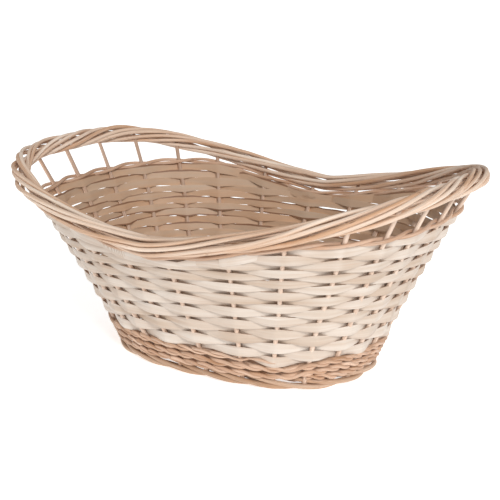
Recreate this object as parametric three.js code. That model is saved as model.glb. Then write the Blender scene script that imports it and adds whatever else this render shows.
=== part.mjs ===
// A woven fruit basket: an oval willow basket whose rim sweeps up at both ends.
// Millimetres, +Z up. The origin is on the ground under the middle of the base and +X runs along
// the basket. Every sub-part is one closed solid, and neighbours keep a small gap.
import * as THREE from "three";

// The rim's centreline: half length, half width, squareness and height.
const RIM = { a: 220, b: 158.6, power: 2.894 };
const RIM_SIDE_Z = 141.9;
const RIM_END_Z = 191;
const RIM_RISE_POWER = 1.41;

// The line on which the stakes meet the foot.
const FOOT = { a: 128, b: 81, power: 2.504 };
const FOOT_LINE_Z = 6;
const FOOT_HALF_WIDTH = 5;
const FOOT_HEIGHT = 9;
const FOOT_CHAMFER = 1.6;
const FOOT_STATIONS = 52;

// The wall flares out a little more towards the rim.
const FLARE = 0.06;

const GAP = 0.4;

// The stakes' places round the rim, as percent of its length from the +X tip. They were set by
// hand, a little unevenly.
const STAKE_PLACES = [
  0.9, 5.1, 9.3, 13.5, 17.7, 21.9, 26.2, 31.0, 35.6, 39.3, 43.1, 47.0,
  51.2, 55.0, 60.0, 65.0, 68.2, 72.2, 76.3, 81.5, 85.7, 89.9, 93.4, 96.8,
];
const STAKES = STAKE_PLACES.length;
const LEFT_TIP_STAKE = 12;
const STAKE_RADIUS = 2;
const STAKE_STEPS = 6;
const ROD_SIDES = 6;

// Three thick rows of willow rods over the foot.
const WALE_ROWS = 3;
const WALE_Z = 10.4;
const WALE_THICKNESS = 3.2;

// Flat split-wood ribbons, woven over one stake and under the next.
const RIBBON_ROWS = 14;
const RIBBON_Z = 34.5;
const RIBBON_SIDE_TOP = 127;
const RIBBON_END_TOP = 133;
const RIBBON_THICKNESS = 0.8;
const PITCH_LOW = 7.9;
const PITCH_HIGH = 5.3;
const END_ROWS = 3;
const END_PITCH = 7.4;
const END_REACH = 6;

// One rod finishes the top edge of the weave.
const TOP_ROD_RADIUS = 1.6;

// The rim is a rope of thick strands that wind round its centreline.
const STRANDS = 4;
const STRAND_RADIUS = 3.3;
const STRAND_TURNS = 4;
const STRAND_STATIONS = 78;
const ROPE_HALF_WIDTH = 6.5;
const ROPE_HALF_HEIGHT = 5;
const RIM_UNDERSIDE = ROPE_HALF_HEIGHT + STRAND_RADIUS;
const STAKE_END_BELOW_RIM = RIM_UNDERSIDE + 1.6;

// The base: a woven mat between sticks that run along it and across it.
const MAT_Z = 6.6;
const MAT_THICKNESS = 3;
const MAT_POINTS = 52;
const STICK_RADIUS = 1.8;
const LONG_STICK_PLACES = [-36, 0, 36];
const CROSS_STICK_PLACES = [-66, 0, 66];

const COLOURS = {
  stake: 0xd8b184,
  ribbon: 0xf0e2c8,
  wale: 0xc99a70,
  foot: 0xd2a67c,
  rim: 0xe0bc92,
  base: 0xcfa67a,
};

function wicker(colour, roughness) {
  return new THREE.MeshStandardMaterial({ color: colour, roughness, metalness: 0 });
}

function named(name, geometry, material) {
  const mesh = new THREE.Mesh(geometry, material);
  mesh.name = name;
  return mesh;
}

function twoDigits(number) {
  return String(number).padStart(2, "0");
}

// A point of a rounded oval.
function onOval(angle, { a, b, power }) {
  const c = Math.cos(angle);
  const s = Math.sin(angle);
  const r = (Math.abs(c) ** power + Math.abs(s) ** power) ** (-1 / power);
  return new THREE.Vector2(a * r * c, b * r * s);
}

// The angles at the given shares of an oval's length, from its +X tip.
function anglesAt(oval, shares) {
  const fine = 7200;
  const lengths = [0];
  let last = onOval(0, oval);
  for (let i = 1; i <= fine; i++) {
    const point = onOval((2 * Math.PI * i) / fine, oval);
    lengths.push(lengths[i - 1] + point.distanceTo(last));
    last = point;
  }
  let at = 0;
  return shares.map((share) => {
    while (lengths[at] < lengths[fine] * share) at++;
    return (2 * Math.PI * at) / fine;
  });
}

function evenAngles(oval, count) {
  return anglesAt(oval, Array.from({ length: count }, (_, i) => i / count));
}

const stakeAngles = anglesAt(RIM, STAKE_PLACES.map((place) => place / 100));

function rimPoint(angle) {
  const { x, y } = onOval(angle, RIM);
  const rise = Math.abs(x / RIM.a) ** RIM_RISE_POWER;
  return new THREE.Vector3(x, y, RIM_SIDE_Z + (RIM_END_Z - RIM_SIDE_Z) * rise);
}

// A point of the wall's middle surface, on the line of one stake, at a height.
function wallPoint(angle, z) {
  const foot = onOval(angle, FOOT);
  const rim = rimPoint(angle);
  const share = (z - FOOT_LINE_Z) / (rim.z - FOOT_LINE_Z);
  const out = share * (1 - FLARE) + share * share * FLARE;
  return new THREE.Vector3(
    THREE.MathUtils.lerp(foot.x, rim.x, out),
    THREE.MathUtils.lerp(foot.y, rim.y, out),
    z,
  );
}

// The wall's outward normal and its direction up the stake.
function wallAxes(angle, z) {
  const step = 1e-3;
  const along = wallPoint(angle + step, z).sub(wallPoint(angle - step, z));
  const up = wallPoint(angle, z + 1).sub(wallPoint(angle, z - 1)).normalize();
  const out = along.cross(up).normalize();
  return { out, up };
}

// A closed solid through sections of equal point counts. A section's points run clockwise as
// seen along the row of sections. An open row gets a flat cap at each end.
function loft(sections, closed) {
  const size = sections[0].length;
  const faces = [];
  const spans = closed ? sections.length : sections.length - 1;
  for (let i = 0; i < spans; i++) {
    const here = i * size;
    const next = ((i + 1) % sections.length) * size;
    for (let j = 0; j < size; j++) {
      const k = (j + 1) % size;
      faces.push(here + j, here + k, next + k);
      faces.push(here + j, next + k, next + j);
    }
  }
  if (!closed) {
    const end = (sections.length - 1) * size;
    for (let j = 1; j < size - 1; j++) {
      faces.push(0, j + 1, j);
      faces.push(end, end + j, end + j + 1);
    }
  }
  const geometry = new THREE.BufferGeometry().setFromPoints(sections.flat());
  geometry.setIndex(faces);
  geometry.computeVertexNormals();
  return geometry;
}

// A flat or rounded section of a weaver at one stake, from height low to height high.
function weaverSection(angle, low, high, offset, thickness, edge) {
  const middle = (low + high) / 2;
  const { out, up } = wallAxes(angle, middle);
  const centre = wallPoint(angle, middle).addScaledVector(out, offset);
  const half = (high - low) / 2 / up.z;
  const corners = [
    [-thickness / 2, edge - half],
    [-thickness / 2, half - edge],
    [thickness / 2, half - edge],
    [thickness / 2, edge - half],
  ];
  if (edge > 0) {
    corners.splice(2, 0, [0, half]);
    corners.push([0, -half]);
  }
  return corners.map(([n, v]) =>
    centre.clone().addScaledVector(out, n).addScaledVector(up, v),
  );
}

// A round section with two given axes.
function roundSection(centre, out, up, radius, sides) {
  return Array.from({ length: sides }, (_, j) => {
    const turn = (-2 * Math.PI * j) / sides;
    return centre
      .clone()
      .addScaledVector(out, radius * Math.cos(turn))
      .addScaledVector(up, radius * Math.sin(turn));
  });
}

// In front of a stake or behind it: neighbouring stakes and neighbouring rows take turns.
function side(stake, row) {
  return (stake + row) % 2 === 0 ? 1 : -1;
}

// The edge heights of ribbon row number row, at one stake.
function ribbonHeights(angle, row) {
  const share = Math.abs(rimPoint(angle).x / RIM.a);
  const top = THREE.MathUtils.lerp(RIBBON_SIDE_TOP, RIBBON_END_TOP, share ** 1.5);
  const pitchChange = (PITCH_HIGH - PITCH_LOW) / (RIBBON_ROWS - 1);
  const height = (n) => n * PITCH_LOW + (pitchChange * n * (n - 1)) / 2;
  const scale = (top - RIBBON_Z) / height(RIBBON_ROWS);
  return [RIBBON_Z + scale * height(row), RIBBON_Z + scale * height(row + 1) - GAP];
}

function topRodHeight(angle) {
  const overEndRows = RIBBON_END_TOP + END_ROWS * END_PITCH + TOP_ROD_RADIUS + GAP;
  const underRim = rimPoint(angle).z - RIM_UNDERSIDE - TOP_ROD_RADIUS - 3 * GAP;
  return Math.min(overEndRows, underRim);
}

// A stake's own line, from just over the foot to just under the rim.
class StakeLine extends THREE.Curve {
  constructor(angle) {
    super();
    this.angle = angle;
  }

  getPoint(share) {
    const low = FOOT_HEIGHT + STAKE_RADIUS;
    const high = rimPoint(this.angle).z - STAKE_END_BELOW_RIM;
    return wallPoint(this.angle, THREE.MathUtils.lerp(low, high, share));
  }
}

function roundShape(radius) {
  const corners = Array.from({ length: ROD_SIDES }, (_, j) => {
    const turn = (2 * Math.PI * j) / ROD_SIDES;
    return new THREE.Vector2(radius * Math.cos(turn), radius * Math.sin(turn));
  });
  return new THREE.Shape(corners);
}

function rod(line, radius, steps) {
  return new THREE.ExtrudeGeometry(roundShape(radius), {
    extrudePath: line,
    steps,
    bevelEnabled: false,
  });
}

function stakes() {
  const material = wicker(COLOURS.stake, 0.6);
  return stakeAngles.map((angle, i) =>
    named(`stake_${twoDigits(i + 1)}`, rod(new StakeLine(angle), STAKE_RADIUS, STAKE_STEPS), material),
  );
}

function waleRings() {
  const material = wicker(COLOURS.wale, 0.65);
  const pitch = (RIBBON_Z - WALE_Z) / WALE_ROWS;
  const offset = STAKE_RADIUS + WALE_THICKNESS / 2 + GAP;
  return Array.from({ length: WALE_ROWS }, (_, row) => {
    const low = WALE_Z + row * pitch;
    const sections = stakeAngles.map((angle, stake) =>
      weaverSection(angle, low, low + pitch - GAP, side(stake, row) * offset, WALE_THICKNESS, 1.8),
    );
    return named(`wale_${twoDigits(row + 1)}`, loft(sections, true), material);
  });
}

function ribbonSection(angle, stake, row, low, high) {
  const offset = STAKE_RADIUS + RIBBON_THICKNESS / 2 + GAP;
  return weaverSection(angle, low, high, side(stake, row) * offset, RIBBON_THICKNESS, 0);
}

function ribbonRings() {
  const material = wicker(COLOURS.ribbon, 0.55);
  return Array.from({ length: RIBBON_ROWS }, (_, row) => {
    const sections = stakeAngles.map((angle, stake) => {
      const [low, high] = ribbonHeights(angle, row);
      return ribbonSection(angle, stake, row + WALE_ROWS, low, high);
    });
    return named(`ribbon_${twoDigits(row + 1)}`, loft(sections, true), material);
  });
}

// Short rows that fill the raised ends, over the stakes where they fit under the top rod.
function endRibbons() {
  const material = wicker(COLOURS.ribbon, 0.55);
  const meshes = [];
  for (const [end, tip] of [["right", 0], ["left", LEFT_TIP_STAKE]]) {
    for (let row = 0; row < END_ROWS; row++) {
      const sections = [];
      for (let reach = -END_REACH; reach <= END_REACH; reach++) {
        const stake = (tip + reach + STAKES) % STAKES;
        const angle = stakeAngles[stake];
        const low = ribbonHeights(angle, RIBBON_ROWS - 1)[1] + GAP + row * END_PITCH;
        const high = low + END_PITCH - GAP;
        if (high + GAP > topRodHeight(angle) - TOP_ROD_RADIUS) continue;
        sections.push(ribbonSection(angle, stake, row + WALE_ROWS + RIBBON_ROWS, low, high));
      }
      meshes.push(named(`end_ribbon_${end}_${row + 1}`, loft(sections, false), material));
    }
  }
  return meshes;
}

function topRod() {
  const offset = STAKE_RADIUS + TOP_ROD_RADIUS + GAP;
  const sections = stakeAngles.map((angle, stake) => {
    const z = topRodHeight(angle);
    const { out, up } = wallAxes(angle, z);
    const level = new THREE.Vector3(out.x, out.y, 0).normalize();
    const shift = side(stake, WALE_ROWS + RIBBON_ROWS + END_ROWS) * offset;
    const centre = wallPoint(angle, z).addScaledVector(level, shift / level.dot(out));
    return roundSection(centre, out, up, TOP_ROD_RADIUS, ROD_SIDES);
  });
  return [named("top_rod", loft(sections, true), wicker(COLOURS.wale, 0.6))];
}

// The ring that the basket stands on, with a flat underside.
function footRing() {
  const w = FOOT_HALF_WIDTH;
  const h = FOOT_HEIGHT;
  const c = FOOT_CHAMFER;
  const profile = [
    [-w, c],
    [-w, h - c],
    [c - w, h],
    [w - c, h],
    [w, h - c],
    [w, c],
    [w - c, 0],
    [c - w, 0],
  ];
  const sections = evenAngles(FOOT, FOOT_STATIONS).map((angle) => {
    const centre = onOval(angle, FOOT);
    const step = 1e-3;
    const along = onOval(angle + step, FOOT).sub(onOval(angle - step, FOOT)).normalize();
    return profile.map(
      ([n, z]) => new THREE.Vector3(centre.x + along.y * n, centre.y - along.x * n, z),
    );
  });
  return [named("foot_border", loft(sections, true), wicker(COLOURS.foot, 0.65))];
}

// Strands of the rope rim, each a closed loop that winds round the rim's centreline.
function rimStrands() {
  const material = wicker(COLOURS.rim, 0.55);
  const angles = evenAngles(RIM, STRAND_STATIONS);
  return Array.from({ length: STRANDS }, (_, strand) => {
    const sections = angles.map((angle, i) => {
      const step = 1e-3;
      const along = rimPoint(angle + step).sub(rimPoint(angle - step)).normalize();
      const out = along.clone().cross(new THREE.Vector3(0, 0, 1)).normalize();
      const up = out.clone().cross(along);
      const turn = 2 * Math.PI * ((STRAND_TURNS * i) / STRAND_STATIONS + strand / STRANDS);
      const centre = rimPoint(angle)
        .addScaledVector(out, ROPE_HALF_WIDTH * Math.cos(turn))
        .addScaledVector(up, ROPE_HALF_HEIGHT * Math.sin(turn));
      return roundSection(centre, out, up, STRAND_RADIUS, ROD_SIDES);
    });
    return named(`rim_strand_${strand + 1}`, loft(sections, true), material);
  });
}

// The base mat fits inside the foot ring.
function baseMat() {
  const inset = FOOT_HALF_WIDTH + GAP;
  const oval = { a: FOOT.a - inset, b: FOOT.b - inset, power: FOOT.power };
  const shape = new THREE.Shape(evenAngles(oval, MAT_POINTS).map((angle) => onOval(angle, oval)));
  const geometry = new THREE.ExtrudeGeometry(shape, { depth: MAT_THICKNESS, bevelEnabled: false });
  geometry.translate(0, 0, MAT_Z);
  return [named("base_mat", geometry, wicker(COLOURS.base, 0.7))];
}

// How far a straight stick can reach inside the foot ring, on the line at one place.
function reachAt(place, halfAcross, halfAlong) {
  const inner = (half) => half - FOOT_HALF_WIDTH - GAP;
  const share = (Math.abs(place) + STICK_RADIUS) / inner(halfAcross);
  return inner(halfAlong) * (1 - share ** FOOT.power) ** (1 / FOOT.power) - GAP;
}

function stick(name, from, to) {
  return named(name, rod(new THREE.LineCurve3(from, to), STICK_RADIUS, 1), wicker(COLOURS.stake, 0.65));
}

function baseSticks() {
  const over = MAT_Z + MAT_THICKNESS + GAP + STICK_RADIUS;
  const under = MAT_Z - GAP - STICK_RADIUS;
  const long = LONG_STICK_PLACES.map((y, i) => {
    const reach = reachAt(y, FOOT.b, FOOT.a);
    const ends = [-reach, reach].map((x) => new THREE.Vector3(x, y, over));
    return stick(`long_stick_${i + 1}`, ...ends);
  });
  const cross = CROSS_STICK_PLACES.map((x, i) => {
    const reach = reachAt(x, FOOT.a, FOOT.b);
    const ends = [-reach, reach].map((y) => new THREE.Vector3(x, y, under));
    return stick(`cross_stick_${i + 1}`, ...ends);
  });
  return [...long, ...cross];
}

const basket = new THREE.Group();
basket.add(
  ...stakes(),
  ...waleRings(),
  ...ribbonRings(),
  ...endRibbons(),
  ...topRod(),
  ...footRing(),
  ...rimStrands(),
  ...baseMat(),
  ...baseSticks(),
);

export default basket;
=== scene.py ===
"""The looks of a woven fruit basket: split-wood ribbons on willow stakes, waling over a plaited foot,
an oval woven base and a rope rim that sweeps up at both ends. Metres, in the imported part's frame."""

import math

import bpy
import numpy as np
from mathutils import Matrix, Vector


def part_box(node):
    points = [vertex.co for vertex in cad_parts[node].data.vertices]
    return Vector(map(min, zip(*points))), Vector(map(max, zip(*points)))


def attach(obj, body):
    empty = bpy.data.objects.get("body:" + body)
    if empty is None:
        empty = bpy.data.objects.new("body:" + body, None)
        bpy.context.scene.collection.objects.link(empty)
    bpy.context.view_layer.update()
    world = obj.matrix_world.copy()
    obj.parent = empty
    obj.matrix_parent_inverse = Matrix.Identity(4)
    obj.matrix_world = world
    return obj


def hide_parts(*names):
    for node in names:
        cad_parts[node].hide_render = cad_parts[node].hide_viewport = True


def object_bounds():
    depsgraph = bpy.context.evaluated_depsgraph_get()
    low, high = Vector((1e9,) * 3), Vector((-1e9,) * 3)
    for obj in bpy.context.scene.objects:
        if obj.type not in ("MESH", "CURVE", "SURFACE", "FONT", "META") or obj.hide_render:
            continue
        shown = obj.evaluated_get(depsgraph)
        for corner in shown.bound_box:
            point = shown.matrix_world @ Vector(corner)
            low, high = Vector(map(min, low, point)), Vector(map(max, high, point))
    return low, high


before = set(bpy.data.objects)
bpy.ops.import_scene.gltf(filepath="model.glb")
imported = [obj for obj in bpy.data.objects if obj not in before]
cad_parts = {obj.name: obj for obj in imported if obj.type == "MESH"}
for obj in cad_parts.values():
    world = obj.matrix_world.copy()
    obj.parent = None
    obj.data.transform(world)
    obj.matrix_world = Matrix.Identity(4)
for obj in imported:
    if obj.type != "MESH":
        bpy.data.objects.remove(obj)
cad_low, cad_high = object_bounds()

MM = 0.001

# The rim's bundle of rods, and its centreline, which lies that far inside the frame's box.
ROPE_HALF_WIDTH = 7.75 * MM
ROPE_HALF_HEIGHT = 7.2 * MM
RIM_ROD_RADIUS = 2.0 * MM
HALF_LENGTH = cad_high.x - ROPE_HALF_WIDTH - RIM_ROD_RADIUS
RIM = {
    "a": HALF_LENGTH - 2.5 * MM,
    "b": cad_high.y - ROPE_HALF_WIDTH - RIM_ROD_RADIUS,
    "power": 2.894,
}
RIM_SIDE_Z = 143 * MM
RIM_END_Z = 191 * MM
RIM_RISE_POWER = 1.41
RIM_GROUPS = 4
RODS_PER_GROUP = 2
RIM_TURNS = 4
RIM_TIP_TWIST = 1.8
CORE_RODS = 2
CORE_ROD_RADIUS = 1.4 * MM
CORE_HALF_WIDTH = 3.0 * MM
CORE_HALF_HEIGHT = 2.2 * MM
RIM_STATIONS = 560

# The line on which the stakes meet the foot, at the height of the foot's middle.
_, foot_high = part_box("foot_border")
FOOT_HALF_WIDTH = 5 * MM
FOOT = {"a": foot_high.x - FOOT_HALF_WIDTH, "b": foot_high.y - FOOT_HALF_WIDTH, "power": 2.504}
FOOT_LINE_Z = 6 * MM
FLARE = 0.15

# The stakes' places round the rim, as percent of its length from the +X tip. Those in sight were
# measured on the photo by a scratch fit and rounded; the others are spaced by hand.
STAKE_PLACES = [
    0.9, 5.1, 9.3, 13.5, 17.7, 21.9, 26.2, 31.0, 35.6, 39.3, 43.1, 47.0,
    51.2, 55.0, 60.0, 65.0, 68.2, 72.2, 76.3, 81.5, 85.7, 89.9, 93.4, 96.8,
]
STAKES = len(STAKE_PLACES)
LEFT_TIP_STAKE = 12
STAKE_RADIUS = 2.2 * MM
STAKE_LOW_Z = 6 * MM
STAKE_STATIONS = 30

# The wall's rows, from the foot up.
WALE_ROUNDS = 3
WALE_Z = 9.8 * MM
WALE_RADIUS = 1.75 * MM
WALE_SWING = 2.3 * MM
WALE_START = 21
WALE_LENGTH = 69.6
WALE_STEPS = 2
RIBBON_START = 20
START_DIP = 5 * MM
RIBBON_Z = 34.5 * MM
RIBBON_ROWS = 14
RIBBON_SIDE_TOP = 130.4 * MM
RIBBON_END_TOP = 133 * MM
RIBBON_THICKNESS = 0.8 * MM
EDGE_THINNING = 0.45
PITCH_LOW = 7.9 * MM
PITCH_HIGH = 5.3 * MM
END_ROWS = 3
END_PITCH = 7.4 * MM
END_REACHES = [6.25, 5.7, 5.2]
END_TAIL = 0.3

# A ribbon is wider than its row's pitch, and stands more upright than the leaning wall. It runs
# straight from stake to stake, and folds there.
RIBBON_FULLNESS = 1.4
UPRIGHT = 0.5
CROWN = 0.12 * MM
FOLD = 0.985
PINCH = 0.85

TOP_ROD_RADIUS = 1.75 * MM
TOP_ROD_SWING = 1.55 * MM

# The foot's rods each come out from under the waling and run down to the ground.
FOOT_ROD_RADIUS = 2.35 * MM
FOOT_RODS = 16
FOOT_ROD_REACH = 2.6
FOOT_LIFT = FOOT_ROD_RADIUS * 1.05
FOOT_RING_INSET = 2.6 * MM
FOOT_RING_STATIONS = 300
SMOOTHING_PASSES = 30

BASE_SPOKES = 20
BASE_RINGS = 20
BASE_Z = 8.1 * MM
BASE_CORE = {"a": 58 * MM, "b": 9 * MM, "power": 2}
BASE_ROD_RADIUS = 1.5 * MM
BASE_STICK_RADIUS = 1.9 * MM
BASE_STICK_STATIONS = 41
BASE_INSIDE_FOOT = 0.965

CAMERA_AZIMUTH = math.radians(33.22)
CAMERA_ELEVATION = math.radians(14.97)
CAMERA_DISTANCE = 5.498 * HALF_LENGTH
CAMERA_LENS = 89.3
AIM_HEIGHT = 0.471 * HALF_LENGTH
AIM_RIGHT = 0.019 * HALF_LENGTH

WHITE_WOOD = (0.74, 0.67, 0.60)
CREAM_WOOD = (0.51, 0.385, 0.285)
# The ribbons' inner tan is the pith's own colour with painted shade and warm bounce light of the
# basket's inside in it.
TAN_PITH_AND_SHADE = (0.55, 0.335, 0.20)
PINK_WOOD = (0.58, 0.38, 0.27)
BROWN_WOOD = (0.22, 0.11, 0.06)
WILLOW_BUMP = 0.6
RIBBON_BUMP = 0.5


# ---- shapes in numbers -------------------------------------------------------------------------


def unit(vectors):
    return vectors / np.linalg.norm(vectors, axis=-1, keepdims=True)


def on_oval(angle, oval):
    """Points of a rounded oval, as x and y."""
    c, s = np.cos(angle), np.sin(angle)
    n = oval["power"]
    r = (np.abs(c) ** n + np.abs(s) ** n) ** (-1 / n)
    return oval["a"] * r * c, oval["b"] * r * s


def length_table(oval, count=7200):
    angles = np.linspace(0, 2 * np.pi, count + 1)
    x, y = on_oval(angles, oval)
    lengths = np.concatenate([[0], np.cumsum(np.hypot(np.diff(x), np.diff(y)))])
    return angles, lengths / lengths[-1]


RIM_ANGLES, RIM_SHARES = length_table(RIM)
FOOT_ANGLES, FOOT_SHARES = length_table(FOOT)


def rim_angle(share):
    """The oval angle at a share of the rim's length, which may run past 1."""
    turns = np.floor(share)
    return np.interp(share - turns, RIM_SHARES, RIM_ANGLES) + 2 * np.pi * turns


def stake_angle(stake):
    """The oval angle at a stake's number, which may be a fraction. Stake 0 is by the +X tip."""
    turns = np.floor(stake / STAKES)
    places = np.array(STAKE_PLACES + [100 + STAKE_PLACES[0]]) / 100
    return rim_angle(np.interp(stake - turns * STAKES, np.arange(STAKES + 1), places) + turns)


def rim_point(angle):
    x, y = on_oval(angle, RIM)
    rise = np.abs(x / RIM["a"]) ** RIM_RISE_POWER
    return np.stack([x, y, RIM_SIDE_Z + (RIM_END_Z - RIM_SIDE_Z) * rise], axis=-1)


def wall_point(angle, z):
    """Points of the wall's middle surface, on the stakes' lines, at a height."""
    foot_x, foot_y = on_oval(angle, FOOT)
    rim = rim_point(angle)
    share = (z - FOOT_LINE_Z) / (rim[..., 2] - FOOT_LINE_Z)
    out = share * (1 - FLARE) + share * share * FLARE
    x = foot_x + (rim[..., 0] - foot_x) * out
    y = foot_y + (rim[..., 1] - foot_y) * out
    return np.stack([x, y, z + 0 * x], axis=-1)


def wall_axes(angle, z):
    """The wall's outward normal and the direction up its stakes."""
    step = 1e-4
    along = wall_point(angle + step, z) - wall_point(angle - step, z)
    up = unit(wall_point(angle, z + step) - wall_point(angle, z - step))
    return unit(np.cross(along, up)), up


def level(vectors):
    """Directions laid flat."""
    flat = vectors.copy()
    flat[..., 2] = 0
    return unit(flat)


def over(stake, row):
    """From 1, in front of the stakes, to -1, behind them, for a plain weave."""
    whole = np.floor(stake)
    turn = np.where((whole + row) % 2 == 0, 1.0, -1.0)
    return turn * np.arcsin(FOLD * np.cos(np.pi * (stake - whole))) / math.asin(FOLD)


def between(stake, value):
    """A value known at whole stakes, with a smooth run from each stake to the next."""
    whole = np.floor(stake)
    share = (1 - np.cos(np.pi * (stake - whole))) / 2
    return value(whole) * (1 - share) + value(whole + 1) * share


def per_stake(stake, size, rng):
    """A random value at each stake, with a smooth run between them."""
    values = rng.normal(0, size, STAKES)
    return between(stake, lambda whole: values[whole.astype(int) % STAKES])


def wander(share, size, rng, waves=(2, 3, 5, 7, 11)):
    """A smooth random run that closes on itself as share goes from 0 to 1."""
    total = 0
    for wave in waves:
        total = total + rng.normal() * np.cos(2 * np.pi * (wave * share + rng.random()))
    return size * total / math.sqrt(len(waves))


def flowing(places, knots, values):
    """Values given at knots, with the corners between them worn smooth."""
    line = np.interp(places, knots, values)
    for _ in range(SMOOTHING_PASSES):
        line[1:-1] = (line[:-2] + 2 * line[1:-1] + line[2:]) / 4
    return line


def row_heights(angle, row):
    """The lower and upper edge heights of a ribbon row. Rows past the full ones fill the ends."""
    share = np.abs(rim_point(angle)[..., 0] / RIM["a"])
    top = RIBBON_SIDE_TOP + (RIBBON_END_TOP - RIBBON_SIDE_TOP) * share**1.5
    if row >= RIBBON_ROWS:
        low = top + (row - RIBBON_ROWS) * END_PITCH
        return low, low + END_PITCH
    change = (PITCH_HIGH - PITCH_LOW) / (RIBBON_ROWS - 1)
    heights = [n * PITCH_LOW + change * n * (n - 1) / 2 for n in (row, row + 1, RIBBON_ROWS)]
    scale = (top - RIBBON_Z) / heights[2]
    return RIBBON_Z + scale * heights[0], RIBBON_Z + scale * heights[1]


def top_rod_height(angle):
    over_ends = RIBBON_END_TOP + END_ROWS * END_PITCH + TOP_ROD_RADIUS
    under_rim = rim_point(angle)[..., 2] - ROPE_HALF_HEIGHT - RIM_ROD_RADIUS - TOP_ROD_RADIUS
    soft = 3 * MM
    return -soft * np.log(np.exp(-over_ends / soft) + np.exp(-under_rim / soft))


# ---- meshes ------------------------------------------------------------------------------------


def sweep(sections, grain, tone, inside, closed, edge=0.0):
    """One solid through sections (stations, points, 3). Returns its arrays as a dict."""
    stations, size = sections.shape[:2]
    spans = stations if closed else stations - 1
    here = np.arange(spans)[:, None] * size
    ahead = ((np.arange(spans) + 1) % stations)[:, None] * size
    j = np.arange(size)[None, :]
    k = (j + 1) % size
    quads = np.stack([here + j, here + k, ahead + k, ahead + j], axis=-1).reshape(-1, 4)
    faces = quads.tolist()
    if not closed:
        faces.append(list(range(size))[::-1])
        faces.append(list(range((stations - 1) * size, stations * size)))
    return {
        "points": sections.reshape(-1, 3),
        "faces": faces,
        "grain": grain.reshape(-1, 3),
        "tone": np.broadcast_to(tone, (stations, size)).reshape(-1),
        "inside": np.broadcast_to(inside, (stations, size)).reshape(-1),
        "edge": np.broadcast_to(edge, (stations, size)).reshape(-1),
    }


def lengths_along(path):
    steps = np.linalg.norm(np.diff(path, axis=0), axis=1)
    return np.concatenate([[0], np.cumsum(steps)])


def tangents(path, closed):
    if closed:
        return unit(np.roll(path, -1, axis=0) - np.roll(path, 1, axis=0))
    return unit(np.gradient(path, axis=0))


def rod(path, radius, reference, seed, closed=False, sides=10, tone=None, two_sided=False):
    """A round rod along a path. reference is a direction that is nowhere along it, and the half
    that faces the other way counts as the inside of a two_sided rod, where the willow material paints
    shade."""
    rng = np.random.default_rng(seed)
    along = tangents(path, closed)
    out = unit(reference - along * np.sum(reference * along, axis=1, keepdims=True))
    up = np.cross(out, along)
    share = np.linspace(0, 1, len(path), endpoint=not closed)
    swell = 1 + wander(share, 0.03, rng, (4, 9, 17, 26))
    thick = (np.broadcast_to(radius, len(path)) * swell)[:, None, None]
    turn = -2 * np.pi * np.arange(sides)[None, :, None] / sides
    ring = np.cos(turn) * out[:, None, :] + np.sin(turn) * up[:, None, :]
    sections = path[:, None, :] + thick * ring
    distance = lengths_along(path)[:, None] + 3.1 * rng.random()
    shape = (len(path), sides)
    grain = np.stack(
        [
            np.broadcast_to(distance, shape),
            np.broadcast_to((thick * np.cos(turn))[..., 0], shape) + rng.random(),
            np.broadcast_to((thick * np.sin(turn))[..., 0], shape),
        ],
        axis=-1,
    )
    if tone is None:
        tone = rng.random()
    inside = np.where(np.cos(turn[..., 0]) < -0.1, 1.0, 0.0) * two_sided
    return sweep(sections, grain, tone, inside, closed)


RIBBON_VS = np.array([-1, -0.92, -0.5, 0, 0.5, 0.92, 1])


def strip(centre, upright, high, low, shade, seed, closed):
    """A flat ribbon: centre is its middle line, and high and low are its half heights."""
    rng = np.random.default_rng(seed)
    along = tangents(centre, closed)
    face = unit(np.cross(along, upright))
    v = np.concatenate([RIBBON_VS, RIBBON_VS[::-1]])[None, :, None]
    layer = np.repeat([-1.0, 1.0], len(RIBBON_VS))[None, :, None]
    half = np.where(v > 0, high[:, None, None], low[:, None, None])
    depth = layer * RIBBON_THICKNESS / 2 * (1 - EDGE_THINNING * np.abs(v) ** 6) + CROWN * (1 - v**2)
    sections = centre[:, None, :] + v * half * upright[:, None, :] + depth * face[:, None, :]
    distance = lengths_along(centre)[:, None] + 3.1 * rng.random()
    shape = (len(centre), v.shape[1])
    grain = np.stack(
        [
            np.broadcast_to(distance, shape),
            np.broadcast_to((v * half)[..., 0], shape) + rng.random(),
            np.broadcast_to(depth[..., 0], shape),
        ],
        axis=-1,
    )
    share = np.linspace(0, 1, len(centre), endpoint=not closed)
    tone = rng.normal(0.45, 0.2) + shade + wander(share, 0.16, rng, (3, 5, 8, 13, 21))
    # Marks the inner face, which the material paints tanner as pith and as painted shade.
    inside = (layer[..., 0] < 0) * 1.0
    barked = v[..., 0] * rng.choice([-1, 0.3, 1])
    return sweep(sections, grain, np.clip(tone, 0, 1)[:, None], inside, closed, barked)


def add_piece(name, solids, material, nodes, smooth_angle=math.radians(50)):
    """Joins solids into one object that rides on the root body and stands for the CAD nodes."""
    offset = 0
    faces = []
    for solid in solids:
        faces += [[offset + i for i in face] for face in solid["faces"]]
        offset += len(solid["points"])
    mesh = bpy.data.meshes.new(name)
    points = np.concatenate([solid["points"] for solid in solids])
    mesh.from_pydata(points.tolist(), [], faces)
    grain = mesh.attributes.new("grain", "FLOAT_VECTOR", "POINT")
    grain.data.foreach_set("vector", np.concatenate([s["grain"] for s in solids]).ravel())
    for key in ("tone", "inside", "edge"):
        values = mesh.attributes.new(key, "FLOAT", "POINT")
        values.data.foreach_set("value", np.concatenate([s[key] for s in solids]))
    mesh.polygons.foreach_set("use_smooth", [True] * len(mesh.polygons))
    mesh.set_sharp_from_angle(angle=smooth_angle)
    mesh.materials.append(material)
    piece = bpy.data.objects.new(name, mesh)
    bpy.context.scene.collection.objects.link(piece)
    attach(piece, "root")
    if nodes:
        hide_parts(*nodes)


# ---- materials ---------------------------------------------------------------------------------


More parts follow.
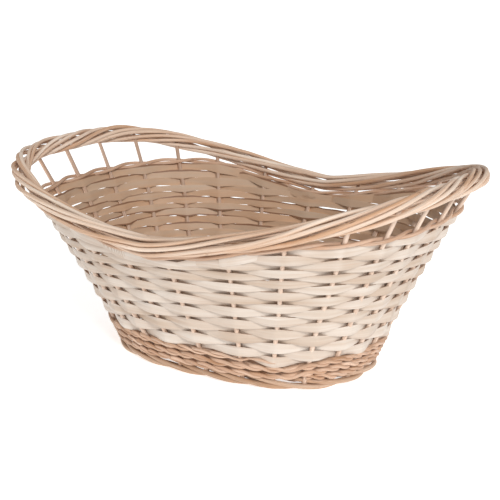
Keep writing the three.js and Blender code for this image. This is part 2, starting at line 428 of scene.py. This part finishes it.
class Nodes:
    """A short way to write a node tree."""

    def __init__(self, name):
        self.material = bpy.data.materials.new(name)
        self.material.use_nodes = True
        self.tree = self.material.node_tree
        self.shader = self.tree.nodes["Principled BSDF"]

    def add(self, kind, inputs=(), **settings):
        node = self.tree.nodes.new(kind)
        for key, value in settings.items():
            setattr(node, key, value)
        for key, value in dict(inputs).items():
            if isinstance(value, bpy.types.NodeSocket):
                self.tree.links.new(value, node.inputs[key])
            else:
                node.inputs[key].default_value = value
        return node

    def attribute(self, name, output="Fac"):
        return self.add("ShaderNodeAttribute", attribute_name=name).outputs[output]

    def noise(self, scale, detail=3.0, roughness=0.55):
        """Noise in the rod's own straight space: scale is per metre along and across."""
        grain = self.attribute("grain", "Vector")
        stretched = self.add(
            "ShaderNodeVectorMath", {0: grain, 1: scale}, operation="MULTIPLY"
        ).outputs[0]
        return self.add(
            "ShaderNodeTexNoise",
            {
                "Vector": stretched,
                "Scale": 1.0,
                "Detail": detail,
                "Roughness": roughness,
            },
        ).outputs["Fac"]

    def span(self, value, low, high, to_low=0.0, to_high=1.0):
        return self.add(
            "ShaderNodeMapRange",
            {"Value": value, "From Min": low, "From Max": high, "To Min": to_low, "To Max": to_high},
        ).outputs["Result"]

    def math(self, operation, a, b):
        return self.add("ShaderNodeMath", {0: a, 1: b}, operation=operation).outputs[0]

    def mix(self, share, a, b):
        node = self.add("ShaderNodeMix", data_type="RGBA")
        for socket, value in ((node.inputs[0], share), (node.inputs[6], a), (node.inputs[7], b)):
            if isinstance(value, bpy.types.NodeSocket):
                self.tree.links.new(value, socket)
            elif isinstance(value, tuple):
                socket.default_value = (*value, 1)
            else:
                socket.default_value = value
        return node.outputs[2]

    def finish(self, colour, roughness, height, bump):
        self.tree.links.new(colour, self.shader.inputs["Base Color"])
        self.tree.links.new(roughness, self.shader.inputs["Roughness"])
        self.shader.inputs["Specular IOR Level"].default_value = 0.35
        node = self.add("ShaderNodeBump", {"Height": height, "Strength": bump, "Distance": 0.0004})
        self.tree.links.new(node.outputs["Normal"], self.shader.inputs["Normal"])
        return self.material


def willow(name, pale, deep):
    """Round willow: a tone for each rod, long stains, fine fibres, a few dark knots, pale streaks
    painted as highlights, and painted shade on the inner half of two-sided rods.
    """
    n = Nodes(name)
    stains = n.span(n.noise((12, 240, 240)), 0.30, 0.70)
    tone = n.math("ADD", n.math("MULTIPLY", n.attribute("tone"), 0.6), n.math("MULTIPLY", stains, 0.6))
    colour = n.mix(tone, pale, deep)
    fibres = n.noise((22, 2600, 2600), detail=4.0)
    streaks = n.span(fibres, 0.50, 0.72)
    colour = n.mix(n.math("MULTIPLY", streaks, 0.45), colour, BROWN_WOOD)
    # Painted highlights: pale streaks scattered along the rods, mixed towards white wood.
    light = n.span(n.noise((30, 1500, 1500), detail=2.0), 0.56, 0.72)
    colour = n.mix(n.math("MULTIPLY", light, 0.5), colour, WHITE_WOOD)
    knots = n.span(n.noise((75, 420, 420), detail=1.0), 0.72, 0.80)
    colour = n.mix(n.math("MULTIPLY", knots, 0.7), colour, BROWN_WOOD)
    # Painted shade: the half of a two-sided rod that faces into the basket is darkened towards brown.
    colour = n.mix(n.span(n.attribute("inside"), 0, 1, 0, 0.45), colour, BROWN_WOOD)
    roughness = n.span(fibres, 0.3, 0.7, 0.38, 0.62)
    return n.finish(colour, roughness, fibres, WILLOW_BUMP)


def split_wood(name):
    """Flat ribbons: cream grain outside, tanner inside partly from the pith and partly as painted shade
    of the basket's inside, bark left on some of the edges.
    """
    n = Nodes(name)
    tone = n.attribute("tone")
    stains = n.span(n.noise((9, 190, 190)), 0.32, 0.70)
    share = n.math("ADD", n.math("MULTIPLY", tone, 0.5), n.math("MULTIPLY", stains, 0.5))
    outer = n.mix(share, WHITE_WOOD, CREAM_WOOD)
    # The inner face: the pith's own tan, made darker and warmer as painted shade and bounce light of the
    # basket's inside.
    inner_pith_and_shade = n.mix(share, CREAM_WOOD, TAN_PITH_AND_SHADE)
    inside = n.attribute("inside")
    colour = n.mix(inside, outer, inner_pith_and_shade)
    fibres = n.noise((16, 1700, 900), detail=5.0, roughness=0.6)
    streaks = n.span(fibres, 0.50, 0.74)
    colour = n.mix(n.math("MULTIPLY", streaks, 0.45), colour, PINK_WOOD)
    edge = n.span(n.attribute("edge"), 0.56, 0.66)
    barked = n.span(n.noise((2.6, 3, 3), detail=1.0), 0.40, 0.46)
    bark = n.math("MULTIPLY", n.math("MULTIPLY", edge, barked), n.span(inside, 0, 1, 0.12, 0.9))
    colour = n.mix(bark, colour, BROWN_WOOD)
    roughness = n.span(fibres, 0.3, 0.7, 0.40, 0.62)
    return n.finish(colour, roughness, fibres, RIBBON_BUMP)


# ---- the basket's pieces -----------------------------------------------------------------------


def numbered(prefix, number):
    return f"{prefix}_{number:02d}"


def stakes(material):
    """Willow rods from the foot up into the rim, each with a slight bend of its own."""
    for i in range(STAKES):
        rng = np.random.default_rng(100 + i)
        angle = np.full(STAKE_STATIONS, stake_angle(np.float64(i)))
        z = np.linspace(STAKE_LOW_Z, float(rim_point(angle[:1])[0, 2]), STAKE_STATIONS)
        path = wall_point(angle, z)
        out, up = wall_axes(angle, z)
        side = np.cross(up, out)
        share = np.linspace(0, 1, STAKE_STATIONS)
        hold = np.sin(np.pi * share)[:, None]
        path = path + out * hold * wander(share * 0.7, 0.5 * MM, rng, (1, 2, 3))[:, None]
        path = path + side * hold * wander(share * 0.7, 0.7 * MM, rng, (1, 2, 3))[:, None]
        thick = STAKE_RADIUS * (1.07 - 0.17 * share) * rng.uniform(0.94, 1.06)
        # two_sided: the willow material darkens each stake's inner half as painted shade.
        solid = rod(path, thick, out, 200 + i, sides=12, two_sided=True)
        add_piece(numbered("willow_stake", i + 1), [solid], material,
                  [numbered("stake", i + 1)])


def stations(first, last, each, closed):
    """Places along the stakes, closer together near each stake, where the ribbons fold."""
    count = int(round((last - first) * each)) + (0 if closed else 1)
    stake = np.linspace(first, last, count, endpoint=not closed)
    return stake - 0.6 * np.sin(2 * np.pi * stake) / (2 * np.pi)


def ribbon_solid(row, first, last, closed, seed, tapered=False, dip=0, limit=None):
    """One ribbon woven round the stakes from number first to number last."""
    rng = np.random.default_rng(seed)
    stake = stations(first, last, 12, closed)
    angle = stake_angle(stake)
    low, high = row_heights(angle, row)
    pitch = high - low
    z = (low + high) / 2 + per_stake(stake, 0.35 * MM, rng)
    from_end = np.minimum(stake - first, last - stake)
    if tapered:
        z = z - 0.4 * pitch * np.clip(1 - from_end / END_TAIL, 0, 1)
    if dip:
        z = z + dip * np.abs(stake - (first + last) / 2)
    if limit is not None:
        z = np.minimum(z, limit(angle) - pitch / 2)
    out, up = wall_axes(angle, z)
    flat = level(out)
    turn = over(stake, row + 1)
    lean = np.linalg.norm(up[:, :2], axis=1) / up[:, 2]
    half = RIBBON_FULLNESS / 2 * pitch * (1 + per_stake(stake, 0.06, rng))
    swing = (STAKE_RADIUS + RIBBON_THICKNESS) / up[:, 2]
    # Where this ribbon's upper and lower edges pass the edges of the rows beside it.
    crossing = UPRIGHT * pitch * lean / (2 * swing)
    pinch_high = np.clip(1 - np.abs(turn - crossing) / PINCH, 0, 1)
    pinch_low = np.clip(1 - np.abs(turn + crossing) / PINCH, 0, 1)
    spare = half - pitch / 2 + 0.1 * MM
    narrow = np.clip(0.6 + from_end / END_TAIL, 0, 1) if tapered else 1
    half_high = (half - spare * pinch_high) * narrow
    half_low = (half - spare * pinch_low) * narrow
    centre = wall_point(angle, z) + flat * (swing * turn)[:, None]
    upright = unit(up * (1 - UPRIGHT) + np.array([0, 0, 1]) * UPRIGHT)
    return strip(centre, upright, half_high, half_low, per_stake(stake, 0.24, rng), seed + 1, closed)


def ribbons(material):
    for row in range(RIBBON_ROWS):
        solids = [ribbon_solid(row, 0, STAKES, True, 300 + 2 * row)]
        if row == 0:
            # The first ribbon starts a row lower, and dips in front of one stake.
            solids.append(ribbon_solid(-1, RIBBON_START - 1.1, RIBBON_START + 1.1, False, 298,
                                       dip=START_DIP))
        add_piece(numbered("split_ribbon", row + 1), solids, material,
                  [numbered("ribbon", row + 1)], smooth_angle=math.radians(40))


def end_ribbons(material):
    """Short ribbons that fill the raised ends under the top rods."""
    for side, tip in (("right", STAKES), ("left", LEFT_TIP_STAKE)):
        for row in range(END_ROWS):
            reach = END_REACHES[row]
            solid = ribbon_solid(RIBBON_ROWS + row, tip - reach, tip + reach, False,
                                 400 + tip + 2 * row, tapered=True,
                                 limit=lambda angle: top_rod_height(angle) - TOP_ROD_RADIUS)
            add_piece(f"split_end_ribbon_{side}_{row + 1}", [solid], material,
                      [f"end_ribbon_{side}_{row + 1}"],
                      smooth_angle=math.radians(40))


def wale_phase(step, strand):
    """Where a wale rod is in its round of three steps. It slips by one each lap."""
    return (step + strand + np.floor(step / (STAKES * WALE_STEPS))) % 3


def wales(material):
    """Three rods woven together for three rounds. Each is behind in one step of three."""
    pitch = (RIBBON_Z - WALE_Z) / WALE_ROUNDS
    nodes = [numbered("wale", i + 1) for i in range(WALE_ROUNDS)]
    for strand in range(3):
        rng = np.random.default_rng(500 + strand)
        length = WALE_LENGTH + 0.8 * strand
        stake = np.linspace(0, length, int(length * WALE_STEPS * 9))
        climb = 0
        for lap in range(1, WALE_ROUNDS):
            late = np.clip((stake - STAKES * lap + 1) / 2, 0, 1)
            climb = climb + late * late * (3 - 2 * late)

        step = stake * WALE_STEPS
        lift = between(
            step, lambda whole: np.choose(wale_phase(whole, strand).astype(int), [0, 0.7, -0.7])
        )
        side = between(step, lambda whole: np.where(wale_phase(whole, strand) == 0, -1.0, 1.0))
        z = WALE_Z + pitch * (climb + 0.5) + WALE_SWING * lift
        z = z + wander(stake / length, 0.6 * MM, rng, (20, 33, 47, 71))
        angle = stake_angle(stake + WALE_START)
        out, _ = wall_axes(angle, z)
        radius = WALE_RADIUS * np.interp(stake, [0, 1, length - 3, length], [0.7, 1, 1, 0.6])
        offset = (STAKE_RADIUS + radius) * side + wander(stake / length, 0.2 * MM, rng, (25, 41, 67))
        path = wall_point(angle, z) + level(out) * offset[:, None]
        tone = np.clip(0.45 + wander(stake / length, 0.4, rng, (15, 22, 37, 58)), 0, 1)[:, None]
        solid = rod(path, radius, out, 510 + strand, sides=8, tone=tone)
        add_piece(f"wale_rod_{strand + 1}", [solid], material, [nodes[strand]])


def top_rods(material):
    """A pair of thin rods that twist round each other and round the stakes."""
    for strand in range(2):
        stake = np.linspace(0, STAKES, STAKES * 12, endpoint=False)
        angle = stake_angle(stake)
        whole = np.floor(stake)
        turn = between(stake, lambda number: np.where((number + strand) % 2 == 0, 1.0, -1.0))
        rise = np.sin(np.pi * (stake - whole)) * np.where((whole + strand) % 2 == 0, 1.0, -1.0)
        z = top_rod_height(angle) + TOP_ROD_SWING * rise
        out, _ = wall_axes(angle, z)
        path = wall_point(angle, z) + level(out) * ((STAKE_RADIUS + TOP_ROD_RADIUS) * turn)[:, None]
        solid = rod(path, TOP_ROD_RADIUS, out, 600 + strand, closed=True, sides=8)
        add_piece(f"top_edge_rod_{strand + 1}", [solid], material, ["top_rod"])


def bundle_axes(point):
    """The outward and upward directions round a closed line given as points."""
    along = tangents(point, True)
    out = unit(np.cross(along, np.array([0.0, 0.0, 1.0])))
    return out, np.cross(out, along)


def rim(material):
    """A rope of willow rods in groups of two, round two rods in its core."""
    share = np.arange(RIM_STATIONS) / RIM_STATIONS
    centre = rim_point(rim_angle(share))
    out, up = bundle_axes(centre)
    number = 0
    # The rope is twisted more tightly where it turns round the tips.
    twist = RIM_TURNS * share + RIM_TIP_TWIST * np.sin(4 * np.pi * share) / (4 * np.pi)
    for group in range(RIM_GROUPS):
        for place in range(RODS_PER_GROUP):
            number += 1
            rng = np.random.default_rng(700 + number)
            start = (group + (place - 0.5) * 0.4) / RIM_GROUPS
            turn = 2 * np.pi * (twist + start + wander(share, 0.022, rng, (3, 5, 8, 13)))
            reach = 1 + 0.1 * (place - 1) + wander(share, 0.07, rng, (4, 7, 11, 17))
            offset = out * (ROPE_HALF_WIDTH * reach * np.cos(turn))[:, None]
            offset = offset + up * (ROPE_HALF_HEIGHT * reach * np.sin(turn))[:, None]
            radius = RIM_ROD_RADIUS * rng.uniform(0.88, 1.06)
            tone = np.clip(rng.random() + wander(share, 0.25, rng, (3, 5, 9, 14)), 0, 1)[:, None]
            solid = rod(centre + offset, radius, out, 720 + number, closed=True, sides=10, tone=tone)
            add_piece(numbered("rim_rod", number), [solid], material,
                      [f"rim_strand_{group + 1}"])
    for core in range(CORE_RODS):
        turn = 2 * np.pi * (core / CORE_RODS - 2 * share)
        offset = out * (CORE_HALF_WIDTH * np.cos(turn))[:, None]
        offset = offset + up * (CORE_HALF_HEIGHT * np.sin(turn))[:, None]
        solid = rod(centre + offset, CORE_ROD_RADIUS, out, 760 + core, closed=True, sides=8)
        add_piece(f"rim_core_rod_{core + 1}", [solid], material, [])


def foot_line(share):
    x, y = on_oval(np.interp(share % 1, FOOT_SHARES, FOOT_ANGLES), FOOT)
    return np.stack([x, y, 0 * x], axis=-1)


def foot_border(material):
    """Thick rods that come out over the base's edge one after the other and lie on the ground."""
    knots = [0, 0.35, 0.75, 1.0, 1.35, 1.8, 2.15, FOOT_ROD_REACH]
    outward = np.array([-3.2, 0.4, 3.4, 3.9, 4.0, 3.4, -0.2, -2.2]) * MM
    height = np.array([9.4, 9.6, 7.6, 6.3, 4.4, 2.5, 2.4, 4.5]) * MM
    solids = []
    for i in range(FOOT_RODS):
        rng = np.random.default_rng(800 + i)
        u = np.linspace(0, FOOT_ROD_REACH, 90)
        start = i + rng.uniform(-0.12, 0.12)
        centre = foot_line((start + u) / FOOT_RODS)
        along = tangents(centre, False)
        out = np.cross(along, np.array([0.0, 0.0, 1.0]))
        n = flowing(u, knots, outward) + 0.2 * MM * rng.normal()
        z = np.maximum(flowing(u, knots, height), FOOT_LIFT)
        path = centre + out * n[:, None]
        path[:, 2] = z
        radius = FOOT_ROD_RADIUS * np.interp(u, [0, 0.5, 2, FOOT_ROD_REACH], [0.8, 1, 1, 0.7])
        radius = radius * rng.uniform(0.93, 1.0)
        solids.append(rod(path, radius, out, 820 + i, sides=10))
    share = np.arange(FOOT_RING_STATIONS) / FOOT_RING_STATIONS
    centre = foot_line(share)
    out, _ = bundle_axes(centre)
    path = centre - out * FOOT_RING_INSET
    path[:, 2] = FOOT_LIFT
    solids.append(rod(path, FOOT_ROD_RADIUS, out, 850, closed=True, sides=10))
    add_piece("foot_rods", solids, material, ["foot_border"])


def base_line(angle, share):
    """Points of the base between its core and the foot."""
    inner_x, inner_y = on_oval(angle, BASE_CORE)
    outer_x, outer_y = on_oval(angle, FOOT)
    x = inner_x + (outer_x * BASE_INSIDE_FOOT - inner_x) * share
    y = inner_y + (outer_y * BASE_INSIDE_FOOT - inner_y) * share
    return np.stack([x, y, 0 * x + BASE_Z], axis=-1)


def base_sticks(material):
    """Sticks that cross the base, all at one height, so they run through each other at its core."""
    long_nodes = [f"long_stick_{number}" for number in (1, 2, 3)]
    cross_nodes = [f"cross_stick_{number}" for number in (1, 2, 3)]
    share = np.linspace(1, -1, BASE_STICK_STATIONS)
    for i in range(BASE_SPOKES // 2):
        angle = 2 * np.pi * (i + 0.5) / BASE_SPOKES
        one = base_line(np.full(BASE_STICK_STATIONS, angle), np.abs(share))
        two = base_line(np.full(BASE_STICK_STATIONS, angle + np.pi), np.abs(share))
        path = np.where((share > 0)[:, None], one, two)
        path = path[np.abs(share) > 0.02]
        solid = rod(path, BASE_STICK_RADIUS, np.array([[0.0, 0.0, 1.0]]), 850 + i, sides=8)
        along = abs(math.cos(angle)) > 0.75
        nodes = long_nodes if along else cross_nodes
        add_piece(numbered("base_stick", i + 1), [solid], material, nodes)


def base_weave(material):
    """Rings of thin rod woven over and under the base's sticks, from its core to the foot."""
    solids = []
    for ring in range(BASE_RINGS):
        share = (ring + 0.5) / BASE_RINGS
        spoke = np.linspace(0, BASE_SPOKES, BASE_SPOKES * 8, endpoint=False)
        angle = 2 * np.pi * (spoke + 0.5) / BASE_SPOKES
        path = base_line(angle, share)
        path[:, 2] += (BASE_STICK_RADIUS + BASE_ROD_RADIUS * 0.8) * over(spoke, ring)
        up = np.array([[0.0, 0.0, 1.0]])
        solids.append(rod(path, BASE_ROD_RADIUS, up, 900 + ring, closed=True, sides=7))
    add_piece("base_weave", solids, material, ["base_mat"])


# ---- the room ----------------------------------------------------------------------------------


def floor():
    size = 6.0
    mesh = bpy.data.meshes.new("floor")
    corners = [(-size, -size, 0), (size, -size, 0), (size, size, 0), (-size, size, 0)]
    mesh.from_pydata(corners, [], [(0, 1, 2, 3)])
    material = bpy.data.materials.new("floor_white")
    material.use_nodes = True
    shader = material.node_tree.nodes["Principled BSDF"]
    shader.inputs["Base Color"].default_value = (0.9, 0.9, 0.9, 1)
    shader.inputs["Roughness"].default_value = 0.9
    shader.inputs["Emission Color"].default_value = (1, 1, 1, 1)
    shader.inputs["Emission Strength"].default_value = 0.6
    mesh.materials.append(material)
    piece = bpy.data.objects.new("floor", mesh)
    bpy.context.scene.collection.objects.link(piece)


def sun(name, azimuth, elevation, strength, softness, colour):
    """A broad, even light from a direction: azimuth 0 is from -Y and 90 is from +X, in degrees."""
    lamp = bpy.data.lights.new(name, "SUN")
    lamp.energy = strength
    lamp.angle = math.radians(softness)
    lamp.color = colour
    piece = bpy.data.objects.new(name, lamp)
    turn, rise = math.radians(azimuth), math.radians(elevation)
    towards = Vector((math.sin(turn) * math.cos(rise), -math.cos(turn) * math.cos(rise), math.sin(rise)))
    piece.rotation_euler = (-towards).to_track_quat("-Z", "Y").to_euler()
    bpy.context.scene.collection.objects.link(piece)


def lights():
    world = bpy.data.worlds.new("studio")
    world.use_nodes = True
    background = world.node_tree.nodes["Background"]
    background.inputs["Color"].default_value = (1, 1, 1, 1)
    background.inputs["Strength"].default_value = 0.44
    bpy.context.scene.world = world
    sun("key", 50, 30, 1.8, 14, (1.0, 0.985, 0.965))
    bpy.context.scene.view_settings.view_transform = "Standard"


def camera():
    sin_a, cos_a = math.sin(CAMERA_AZIMUTH), math.cos(CAMERA_AZIMUTH)
    sin_e, cos_e = math.sin(CAMERA_ELEVATION), math.cos(CAMERA_ELEVATION)
    back = Vector((sin_a * cos_e, -cos_a * cos_e, sin_e))
    aim = Vector((cos_a, sin_a, 0)) * AIM_RIGHT + Vector((0, 0, AIM_HEIGHT))
    data = bpy.data.cameras.new("camera")
    data.lens = CAMERA_LENS
    data.sensor_width = 36
    piece = bpy.data.objects.new("camera", data)
    piece.location = aim + back * CAMERA_DISTANCE
    piece.rotation_euler = (-back).to_track_quat("-Z", "Y").to_euler()
    bpy.context.scene.collection.objects.link(piece)
    bpy.context.scene.camera = piece


camera()
lights()
floor()

stake_willow = willow("stake_willow", (0.86, 0.70, 0.58), (0.66, 0.46, 0.34))
wale_willow = willow("wale_willow", (0.80, 0.58, 0.44), (0.45, 0.25, 0.14))
rim_willow = willow("rim_willow", (0.93, 0.80, 0.68), (0.62, 0.37, 0.22))
foot_willow = willow("foot_willow", (0.69, 0.51, 0.38), (0.46, 0.28, 0.17))
ribbon_wood = split_wood("ribbon_wood")

stakes(stake_willow)
ribbons(ribbon_wood)
end_ribbons(ribbon_wood)
wales(wale_willow)
top_rods(wale_willow)
rim(rim_willow)
foot_border(foot_willow)
base_sticks(foot_willow)
base_weave(wale_willow)
